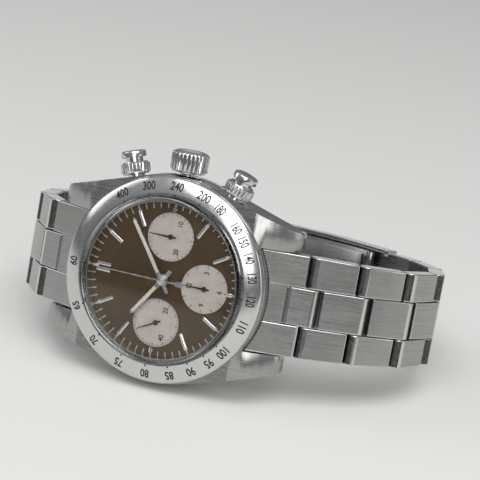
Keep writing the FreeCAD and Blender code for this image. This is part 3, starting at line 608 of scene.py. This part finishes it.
# The faces of a block, by the order in which tick gives its corners.
BLOCK = [(0, 1, 2, 3), (4, 5, 6, 7), (0, 1, 5, 4), (1, 2, 6, 5), (2, 3, 7, 6), (3, 0, 4, 7)]


def ticks(name, strokes, material):
    """Printed strokes as one mesh."""
    verts = []
    faces = []
    for stroke in strokes:
        base = len(verts)
        verts += stroke
        faces += [tuple(base + index for index in face) for face in BLOCK]
    return finished(name, verts, faces, [material])


def minute_track():
    """A stroke for each minute, wider at each fifth."""
    strokes = []
    for minute in range(60):
        inner, width = (13.15, 0.34) if minute % 5 == 0 else (13.2, 0.2)
        strokes.append(tick(6 * minute, inner, FLANGE_R - 0.05, width, DIAL_TOP - 0.012))
    piece("minute_track", ticks("minute_track", strokes, PRINT_CREAM), "case")


def counter_print():
    """Black ticks and small numbers on the three counters. Two of them have no number at their top."""
    plans = ((90, 30, 5, (None, "10", "20")),
             (180, 12, 1, ("12", "3", "6", "9")),
             (270, 60, 5, (None, "20", "40")))
    level = COUNTER_LEVEL - 0.02
    number_ring = 2.95
    for dial_angle, count, long_every, words in plans:
        centre = spot(dial_angle, SUB_DIAL_OFFSET)
        strokes = []
        for step in range(count):
            inner, width = (3.75, 0.11) if step % long_every == 0 else (4.0, 0.07)
            strokes.append(tick(360 * step / count, inner, 4.35, width, level, centre))
        meshes = [ticks("counter_ticks", strokes, BLACK_FILL)]
        for index, word in enumerate(words):
            if word is None:
                continue
            x, z = spot(360 * index / len(words), number_ring)
            number = lettering(word, 1.0, 0.025, 0.85)
            meshes.append(stand(number, (0, 0, 1), (-1, 0, 0), (centre[0] + x, level, centre[1] + z)))
        name = "counter_print_" + str(dial_angle // 30)
        piece(name, joined(name, meshes, [BLACK_FILL]), "case")


def baton_mesh(inner, outer, width, top, bottom, offset=0.0):
    """A bar along -x with a flat top and bevelled sides."""
    half = width / 2
    verts = []
    for x in (-inner, -outer):
        verts += [(x, bottom, offset - half), (x, top + 0.12, offset - half), (x, top, offset - half * 0.35),
                  (x, top, offset + half * 0.35), (x, top + 0.12, offset + half), (x, bottom, offset + half)]
    return finished("baton", verts, capped(6), [POLISHED])


def hour_batons():
    """The applied batons: short beside each counter, two side by side at 12, and a dot of lume at each."""
    baton_width = 0.62
    batons = []
    for hour in range(1, 12):
        if hour % 3 == 0:
            mesh = baton_mesh(MARKER_OUTER_R - 0.4, MARKER_OUTER_R + 0.6, 0.6, MARKER_TOP, DIAL_TOP)
        else:
            mesh = baton_mesh(MARKER_INNER_R, MARKER_OUTER_R, baton_width, MARKER_TOP, DIAL_TOP)
        mesh.transform(clock(30 * hour))
        batons.append(mesh)
    for offset in (-0.55, 0.55):
        batons.append(baton_mesh(MARKER_INNER_R, MARKER_OUTER_R, baton_width, MARKER_TOP, DIAL_TOP, offset))
    mesh = joined("hour_batons", batons, [POLISHED])
    piece("hour_batons", mesh, "case", nodes=["hour_markers"])
    dots = []
    for hour in range(12):
        radius = MARKER_OUTER_R + (0.15 if hour % 3 else 0.1)
        dot = lathe("dot", [(0.0, DIAL_TOP - 0.34), (0.2, DIAL_TOP - 0.31), (0.33, DIAL_TOP - 0.2),
                            (0.36, DIAL_TOP)], [LUME], 20, open_outline=True)
        dot.transform(shift(*spot(30 * hour, radius)))
        dots.append(dot)
    piece("lume_dots", joined("lume_dots", dots, [LUME]), "case")


# Hands. Drawn pointing at 12 o'clock and turned about the dial's centre.

def stick_hand(name, node, body, length, tail, width, top, angle, hub_r):
    """A bevelled stick with a strip of lume, on its hub."""
    half = width / 2
    bottom = top + 0.19
    outline = [(-length, 0), (-length + 0.5, half * 0.95), (0, half), (tail - 0.15, half * 0.9),
               (tail, half * 0.6), (tail, -half * 0.6), (tail - 0.15, -half * 0.9), (0, -half),
               (-length + 0.5, -half * 0.95)]
    blade = slab("blade", outline, top, bottom, [HAND_STEEL])
    hub = lathe("hub", [(HAND_BORE_R, top - 0.05), (hub_r - 0.08, top - 0.05), (hub_r, top), (hub_r, bottom),
                        (HAND_BORE_R, bottom)], [HAND_STEEL], 48)
    mesh = joined(name, [blade, hub], [HAND_STEEL])
    mesh.transform(clock(angle))
    piece(name, mesh, body, nodes=[node], bevel=0.06, segments=2)
    tip = -length + 0.6
    root = -hub_r - 0.7
    lume = [(tip, -half * 0.6), (tip, half * 0.6), (root, half * 0.68), (root, -half * 0.68)]
    strip = slab("strip", lume, top - 0.03, top + 0.05, [LUME])
    strip.transform(clock(angle))
    piece(name + "_lume", strip, body)


def sweep_hand():
    """The thin chronograph hand with its counterweight and cap."""
    level = CHRONO_HAND_LEVEL
    side = [(-CHRONO_HAND_LENGTH, 0.07), (0, 0.15), (2.7, 0.17), (3.0, 0.45), (3.9, 0.5), (4.4, 0.2)]
    outline = side + [(x, -z) for x, z in side[::-1]]
    blade = slab("blade", outline, level, level + 0.16, [HAND_STEEL])
    turned = [(0, level - 0.28), (0.3, level - 0.27), (0.44, level - 0.2), (0.45, level - 0.02), (0.74, level),
              (0.78, level + 0.05), (0.78, level + 0.18), (0.3, level + 0.18), (0.3, 0.7), (0, 0.7)]
    hub = lathe("hub", turned, [HAND_STEEL], 48, open_outline=True)
    mesh = joined("sweep_hand", [blade, hub], [HAND_STEEL])
    piece("sweep_hand", mesh, "chrono_seconds_set", nodes=["chrono_seconds_hand"], bevel=0.03,
          segments=2)


def counter_hands():
    """The three small black hands, each a tapered blade on a hub and arbor."""
    level = SUB_HAND_LEVEL
    side = [(-SUB_HAND_LENGTH, 0.05), (-SUB_HAND_TAIL, 0.15), (0, 0.2), (SUB_HAND_TAIL, 0.15)]
    outline = side + [(x, -z) for x, z in side[::-1]]
    turned = [(0, level - 0.1), (0.35, level - 0.09), (0.47, level - 0.03), (0.5, level + 0.04),
              (0.5, level + 0.14), (0.22, level + 0.14), (0.22, -0.5), (0, -0.5)]
    rows = (("minute_counter_hand", "minute_counter_set", 90, 0),
            ("hour_counter_hand", "hour_counter_set", 180, 0),
            ("small_seconds_hand", "small_seconds", 270, SMALL_SECONDS_ANGLE))
    for node, body, dial_angle, angle in rows:
        blade = slab("blade", outline, level + 0.01, level + 0.13, [BLACK_HANDS])
        hub = lathe("hub", turned, [BLACK_HANDS], 40, open_outline=True)
        mesh = joined(node + "_lacquered", [blade, hub], [BLACK_HANDS])
        mesh.transform(shift(*spot(dial_angle, SUB_DIAL_OFFSET)) @ clock(angle))
        piece(node + "_lacquered", mesh, body, nodes=[node])


# Crown and pushers.

def fluted_barrel(name, rows, flutes, samples, materials):
    """Rings along z, each row a (radius, z, flute depth). The rows end on the axis, or where they began."""
    count = flutes * samples
    verts = []
    for radius, height, depth in rows:
        for step in range(count):
            turn = 2 * math.pi * step / count
            dip = (0.5 - 0.5 * math.cos(flutes * turn)) ** 2
            reach = radius - depth * dip
            verts.append((reach * math.cos(turn), reach * math.sin(turn), height))
    faces = []
    for row in range(len(rows) - 1):
        for step in range(count):
            after = (step + 1) % count
            low = row * count
            faces.append((low + step, low + after, low + count + after, low + count + step))
    return finished(name, verts, faces, materials)


def crown():
    """The fluted crown, with a shallow dished cap."""
    rows = [(1.72, 22.28, 0), (1.72, 19.92, 0), (3.05, 19.92, 0), (3.15, 20.0, 0), (3.15, 20.2, 0),
            (3.42, 20.3, 0.1), (3.5, 20.45, 0.28), (3.5, 23.1, 0.28), (3.44, 23.3, 0.2), (3.26, 23.5, 0),
            (3.1, 23.62, 0), (2.75, 23.8, 0), (2.45, 23.88, 0), (2.3, 23.86, 0), (2.2, 23.78, 0), (0, 23.84, 0)]
    mesh = fluted_barrel("fluted_crown", rows, CROWN_FLUTES, 8, [POLISHED])
    place = WATCH @ Matrix.Translation(Vector((0, CROWN_LEVEL * MM, 0)))
    piece("fluted_crown", mesh, "crown_set", place, nodes=["crown"])


def pusher_place(name):
    """A pusher's own frame: its foot on the case, z along it and out."""
    joint = JOINTS[name + "_sleeve_screw"]
    z = Vector(joint["axis"])
    y = Vector(JOINTS["minute_spin"]["axis"])
    return Matrix.Translation(Vector(joint["pos_m"])) @ Matrix((y.cross(z), y, z)).transposed().to_4x4()


def pushers():
    """The two pushers, each a fluted screw-down sleeve round a domed button on its stem."""
    sleeve = [(1.72, 1.36, 0), (2.3, 1.36, 0), (2.45, 1.45, 0), (2.45, 1.62, 0), (2.68, 1.72, 0.05),
              (2.74, 1.86, 0.22), (2.74, 3.2, 0.22), (2.66, 3.34, 0.05), (2.45, 3.42, 0), (2.3, 3.64, 0),
              (1.72, 3.64, 0), (1.72, 1.36, 0)]
    button = [(0, -1.4, 0), (0.88, -1.4, 0), (0.88, 4.4, 0), (1.46, 4.4, 0), (1.46, 2.8, 0), (1.66, 2.8, 0),
              (1.66, 4.47, 0), (2.24, 4.47, 0), (2.34, 4.57, 0), (2.34, 5.35, 0), (2.24, 5.55, 0),
              (2.0, 5.7, 0), (1.6, 5.78, 0), (0.9, 5.8, 0), (0, 5.8, 0)]
    for name in ("start", "reset"):
        place = pusher_place(name)
        mesh = fluted_barrel(name + "_sleeve_fluted", sleeve, SLEEVE_FLUTES, 8, [POLISHED])
        piece(name + "_sleeve_fluted", mesh, name + "_sleeve", place,
              nodes=[name + "_pusher_sleeve"])
        mesh = fluted_barrel(name + "_button_domed", button, 1, 64, [POLISHED])
        piece(name + "_button_domed", mesh, name + "_button", place,
              nodes=[name + "_pusher_button"])


# Bracelet.

def half_width(distance):
    """Half the bracelet's width at a distance from its first full link, tapering evenly to the clasp."""
    return WIDTH_AT_LUG - (WIDTH_AT_LUG - WIDTH_AT_CLASP) * distance / (LINK_COUNT * PITCH)


def pivots(side):
    """The pivot of every link on one side, in metres in the row frame, from the lug bar to the clasp."""
    tag = "6" if side > 0 else "12"
    names = ["lug_hinge_" + tag] + ["link_%s_%d_hinge" % (tag, index) for index in range(1, LINK_COUNT + 1)]
    found = [Vector(JOINTS[name]["pos_m"]) for name in names]
    if side > 0:
        found.append(Vector(JOINTS["cover_hinge"]["pos_m"]))
    else:
        low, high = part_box("end_spring_bar")
        found.append((low + high) / 2)
    return found


PITCH = (pivots(1)[2] - pivots(1)[1]).length / MM
LUG_LINK_PITCH = (pivots(1)[1] - pivots(1)[0]).length / MM


def link_place(start, end, side):
    """A link's own frame: x along the bracelet, y to the wrist."""
    along = (end - start).normalized()
    across = ACROSS * side
    turn = Matrix((along, across.cross(along), across)).transposed().to_4x4()
    return Matrix.Translation(start) @ turn


def link_outline(low, high, round_low, round_high):
    """A link plate seen from the side: its outer face falls away by LINK_DOME towards a square end."""
    r = LINK_HALF
    dip_low = 0 if round_low else LINK_DOME
    dip_high = 0 if round_high else LINK_DOME
    points = arc((low, 0), r, 90, 270, 24) if round_low else [(low, r), (low, dip_low - r)]
    for step in range(1, 10):
        bow = step / 5 - 1
        points.append((low + (high - low) * step / 10, -r + (dip_low if bow < 0 else dip_high) * bow ** 2))
    points += arc((high, 0), r, 270, 450, 24) if round_high else [(high, dip_high - r), (high, r)]
    return points


def end_spans(low, high, round_low, round_high):
    """Which stretches of a link's outline are polished (1) and which take painted shade, down in the joint (2).
    """
    # Material 2 is painted shade: the deep part of each rounded end and each flat end face are painted dark
    # where the joint's shadow falls.
    edge = 0.01
    spans = []
    if round_low:
        spans += [(low - POLISHED_END, low - edge, 1), (low - LINK_HALF, low - POLISHED_END, 2)]
    else:
        spans.append((low - edge, low + edge, 2))
    if round_high:
        spans += [(high + edge, high + POLISHED_END, 1), (high + POLISHED_END, high + LINK_HALF, 2)]
    else:
        spans.append((high - edge, high + edge, 2))
    return spans


def link_spans(index, side):
    """(outer low, high, rounded), (centre low, high, rounded) for a link, as in the CAD."""
    stop = PITCH - LINK_HALF - LINK_GAP
    begin = LINK_HALF + LINK_GAP
    if index < LINK_COUNT:
        return (0, stop, False), (begin, PITCH, True)
    if side < 0:
        return (0, PITCH, True), (begin, stop, False)
    return (0, PITCH - LAST_LINK_CUT, False), (begin, PITCH - LAST_LINK_CUT, False)


def links():
    """The full links of both sides, each of two outer plates and a centre one."""
    inner = CENTRE_HALF_WIDTH + ROW_GAP
    for side, tag in ((1, "6"), (-1, "12")):
        points = pivots(side)
        for index in range(1, LINK_COUNT + 1):
            node = "link_%s_%d" % (tag, index)
            outer, centre = link_spans(index, side)
            start = (index - 1) * PITCH
            place = link_place(points[index], points[index + 1], side)
            outer = (outer[0], outer[1], True, outer[2])
            centre = (centre[0], centre[1], False, centre[2])
            rows = (("_upper", outer, lambda x: inner, lambda x: half_width(start + x)),
                    ("_lower", outer, lambda x: -half_width(start + x), lambda x: -inner),
                    ("_middle", centre, lambda x: -CENTRE_HALF_WIDTH, lambda x: CENTRE_HALF_WIDTH))
            for row, shape, low, high in rows:
                mesh = prism(node + row, link_outline(*shape), low, high, LINK_FINISHES_AND_SHADE, end_spans(*shape))
                piece(node + row, mesh, node, place, nodes=[node], bevel=LINK_BEVEL,
                      bevel_material=1)
            if index == LINK_COUNT and side > 0:
                tongue(node, place)


def tongue(node, place):
    """The thin end of the last link, inside the clasp cover."""
    root = PITCH - 3.35
    eye_r = 0.9
    half = 7.2
    outline = [(root, -0.3), (PITCH - 0.85, -0.3)] + arc((PITCH, 0), eye_r, 200, 450, 18) + [(root, eye_r)]
    mesh = prism(node + "_tongue", outline, lambda x: -half, lambda x: half, [BRUSHED, POLISHED])
    piece(node + "_tongue", mesh, node, place, bevel=0.08, bevel_material=1)


def lug_links():
    """The short link on each lug bar: one centre plate with a loop round the bar."""
    half = CENTRE_HALF_WIDTH - 0.1
    for side, tag in ((1, "6"), (-1, "12")):
        points = pivots(side)
        node = "lug_link_" + tag
        outline = arc((0, 0), LUG_LOOP_R, 90, 270, 16) + [(1.5, -LUG_LOOP_R), (1.72, -LINK_HALF)]
        outline += arc((LUG_LINK_PITCH, 0), LINK_HALF, 270, 450, 24) + [(1.7, LINK_HALF), (1.5, LUG_LOOP_R)]
        polished_to = LUG_LINK_PITCH + POLISHED_END
        # The loop round the lug bar, down in the joint, takes material 2: painted shade.
        spans = [(LUG_LINK_PITCH + 0.01, polished_to, 1), (polished_to, LUG_LINK_PITCH + LINK_HALF, 2),
                 (-LUG_LOOP_R, 1.6, 2)]
        mesh = prism(node + "_plate", outline, lambda x: -half, lambda x: half, LINK_FINISHES_AND_SHADE, spans)
        place = link_place(points[0], points[1], side)
        piece(node + "_plate", mesh, node, place, nodes=[node], bevel=LINK_BEVEL,
              bevel_material=1)


def end_row(name, low, high, tip, base, side):
    """One row of an end link, from the round of the case to its free end; tip and base are (x, y) there."""
    depths = [low + (high - low) * step / 12 for step in range(13)]
    rim = [(math.sqrt(CASE_ROUND_R ** 2 - z ** 2), z) for z in depths]
    slope = (END_LINK_ROOT[1] - tip[1]) / (END_LINK_ROOT[0] - tip[0])
    top = [(x, tip[1] + slope * (x - tip[0]), z) for x, z in rim]
    top += [(tip[0], tip[1], high), (tip[0], tip[1], low)]
    bottom = [(x, END_LINK_BACK, z) for x, z in rim] + [(base[0], base[1], high), (base[0], base[1], low)]
    verts = [(side * x, y, z) for x, y, z in top + bottom]
    return finished(name, verts, capped(len(top)), [BRUSHED, POLISHED])


def end_links():
    """The fixed first link between the lugs, in three rows with grooves between them."""
    for side, tag in ((1, "6"), (-1, "12")):
        node = "end_link_" + tag
        points = pivots(side)
        to_watch = WATCH.inverted()
        bar = to_watch @ points[0] / MM
        along = (to_watch @ points[1] / MM - bar).normalized()
        along = Vector((abs(along.x), along.y))
        inward = Vector((-along.y, along.x))
        bar = Vector((abs(bar.x), bar.y))
        reach = LUG_LINK_PITCH - LINK_HALF - LINK_GAP
        tip = bar + along * reach - inward * LINK_HALF
        base = bar + along * reach + inward * LINK_HALF
        lip = bar + along - inward * LINK_HALF
        under = bar + along - inward * (LINK_HALF - 0.08)
        inner = CENTRE_HALF_WIDTH + 0.06
        rows = (("_upper", inner, WIDTH_AT_LUG, tip, base, 0.18),
                ("_lower", -WIDTH_AT_LUG, -inner, tip, base, 0.18),
                ("_middle", -CENTRE_HALF_WIDTH, CENTRE_HALF_WIDTH, lip, under, 0.1))
        for word, low, high, end, foot, bevel in rows:
            mesh = end_row(node + word, low, high, end, foot, side)
            piece(node + word, mesh, "case", nodes=[node], bevel=bevel, bevel_material=1)


# CAD nodes that keep their shape and take a finish.

def finish_node(node, *materials):
    """Gives a CAD node these materials instead of its own."""
    obj = NODES[node]
    obj.data.materials.clear()
    for material in materials:
        obj.data.materials.append(material)
    return obj


def bright_flanks(obj):
    """Gives a CAD node's faces that look across the bracelet its second material."""
    for polygon in obj.data.polygons:
        polygon.material_index = int(abs(polygon.normal.dot(ACROSS)) > 0.55)


def eased_edges(obj, width):
    """Joins the CAD mesh's faces and rounds its sharp edges."""
    weld = obj.modifiers.new("joined faces", "WELD")
    weld.merge_threshold = 0.0005 * MM
    soften(obj, width, 1, 2)


def case_finish():
    """Brushed faces, polished flanks and eased edges on the case and the clasp."""
    case = finish_node("case_middle", BRUSHED, POLISHED)
    bright_flanks(case)
    eased_edges(case, 0.12)
    for node in ("clasp_cover", "blade_outer", "blade_inner"):
        obj = finish_node(node, BRUSHED, POLISHED)
        bright_flanks(obj)
        eased_edges(obj, 0.08)
    back = finish_node("case_back", BRUSHED, POLISHED)
    eased_edges(back, 0.1)


def cad_finishes():
    """One finish each for the pieces that are hidden or small."""
    plain = {
        POLISHED: ("crystal_ring", "lug_bar_6", "lug_bar_12", "clasp_spring_bar", "cover_hinge_pin",
                   "blade_hinge_pin", "end_spring_bar", "winding_stem", "winding_pinion", "crown_tube",
                   "start_pusher_tube", "reset_pusher_tube", "start_pusher_spring", "reset_pusher_spring"),
        GILT: ("centre_wheel", "third_wheel", "fourth_wheel", "escape_wheel", "balance_wheel",
               "mainspring_barrel"),
        PLATED: ("main_plate", "train_bridge"),
        RUBBER: ("case_back_gasket",),
    }
    for material, nodes in plain.items():
        for node in nodes:
            finish_node(node, material)


# Stage: a pale floor, soft lights and the camera.

AIR_AT_HORIZON = 0.12
AIR_OVERHEAD = 0.45


def stage():
    """A plain pale floor at the row frame's z = 0."""
    mesh = bpy.data.meshes.new("floor")
    size = 3.0
    corners = [(-size, -size, 0), (size, -size, 0), (size, size, 0), (-size, size, 0)]
    mesh.from_pydata(corners, [], [(0, 1, 2, 3)])
    floor = bpy.data.objects.new("floor", mesh)
    bpy.context.scene.collection.objects.link(floor)
    paint = Shader("floor_paper", (0.78, 0.77, 0.75), 0.0, 0.7)
    mesh.materials.append(paint.material)
    floor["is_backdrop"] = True


def studio_air():
    """A soft grey surround, lighter overhead than at the horizon."""
    world = bpy.data.worlds.new("studio")
    bpy.context.scene.world = world
    world.use_nodes = True
    tree = world.node_tree
    background = tree.nodes["Background"]
    coordinates = tree.nodes.new("ShaderNodeTexCoord")
    split = tree.nodes.new("ShaderNodeSeparateXYZ")
    ramp = tree.nodes.new("ShaderNodeMapRange")
    ramp.inputs["From Min"].default_value = -0.1
    ramp.inputs["From Max"].default_value = 0.9
    ramp.inputs["To Min"].default_value = AIR_AT_HORIZON
    ramp.inputs["To Max"].default_value = AIR_OVERHEAD
    tree.links.new(coordinates.outputs["Generated"], split.inputs["Vector"])
    tree.links.new(split.outputs["Z"], ramp.inputs["Value"])
    tree.links.new(ramp.outputs["Result"], background.inputs["Strength"])
    background.inputs["Color"].default_value = (0.95, 0.975, 1.0, 1)


def direction(azimuth, elevation):
    """A unit vector, azimuth in degrees round from -y towards +x and elevation up towards z."""
    a = math.radians(azimuth)
    e = math.radians(elevation)
    return Vector((math.sin(a) * math.cos(e), -math.cos(a) * math.cos(e), math.sin(e)))


def softbox(name, azimuth, elevation, distance, size, radiance, colour=(1, 1, 1)):
    """A soft light facing the watch from a direction in the row frame. Its energy grows with its size, so
    that a mirror shows it equally bright at any size. Distance and size are in metres."""
    centre = (Vector(CAD_BOX[0]) + Vector(CAD_BOX[1])) / 2
    light = bpy.data.lights.new(name, "AREA")
    light.shape = "RECTANGLE"
    light.size, light.size_y = size
    light.energy = radiance * math.pi * size[0] * size[1]
    light.color = colour
    obj = bpy.data.objects.new(name, light)
    bpy.context.scene.collection.objects.link(obj)
    out = direction(azimuth, elevation)
    obj.location = centre + out * distance
    obj.rotation_euler = (centre - obj.location).to_track_quat("-Z", "Y").to_euler()


def lights():
    """The grey surround and four soft lights."""
    studio_air()
    softbox("overhead", 25, 66, 0.75, (0.80, 0.46), 3.0)
    softbox("key", 20, 31, 0.72, (0.32, 0.44), 2.7, (1.0, 0.99, 0.97))
    softbox("far_right", 84, 16, 0.70, (0.14, 0.34), 1.8, (1.0, 0.985, 0.96))
    softbox("left", -80, 32, 0.70, (0.30, 0.45), 1.6, (0.96, 0.98, 1.0))


# The camera's direction from the watch and its roll, in degrees in the watch's own frame, and its distance
# and the width that it sees there, in metres.
VIEW_AZIMUTH = 17.0
VIEW_ELEVATION = 7.5
VIEW_ROLL = 10.3
VIEW_DISTANCE = 0.35
VIEW_WIDTH = 0.093


def camera():
    """The photograph's view, of the middle of the watch."""
    azimuth = math.radians(VIEW_AZIMUTH)
    turn = WATCH.to_3x3()
    back = turn @ direction(VIEW_AZIMUTH, VIEW_ELEVATION)
    right = turn @ Vector((math.cos(azimuth), math.sin(azimuth), 0))
    up = back.cross(right)
    roll = math.radians(VIEW_ROLL)
    right, up = right * math.cos(roll) + up * math.sin(roll), up * math.cos(roll) - right * math.sin(roll)
    low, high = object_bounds()
    target = (low + high) / 2
    data = bpy.data.cameras.new("camera")
    data.lens = data.sensor_width * VIEW_DISTANCE / VIEW_WIDTH
    data.clip_start = 0.01
    obj = bpy.data.objects.new("camera", data)
    bpy.context.scene.collection.objects.link(obj)
    facing = Matrix((right, up, back)).transposed().to_4x4()
    obj.matrix_world = Matrix.Translation(target + back * VIEW_DISTANCE) @ facing
    bpy.context.scene.camera = obj


bpy.context.scene.view_settings.view_transform = "Standard"
bezel()
crystal()
dial_plate()
counter_faces()
minute_track()
counter_print()
hour_batons()
stick_hand("hour_stick", "hour_hand", "hour_hand_set", HOUR_HAND_LENGTH, 2.4, 0.85, HOUR_HAND_LEVEL,
           HOUR_ANGLE, 1.08)
stick_hand("minute_stick", "minute_hand", "minute_hand_set", MINUTE_HAND_LENGTH, 2.6, 0.72, MINUTE_HAND_LEVEL,
           MINUTE_ANGLE, 0.88)
sweep_hand()
counter_hands()
crown()
pushers()
links()
lug_links()
end_links()
case_finish()
cad_finishes()
stage()
lights()
camera()
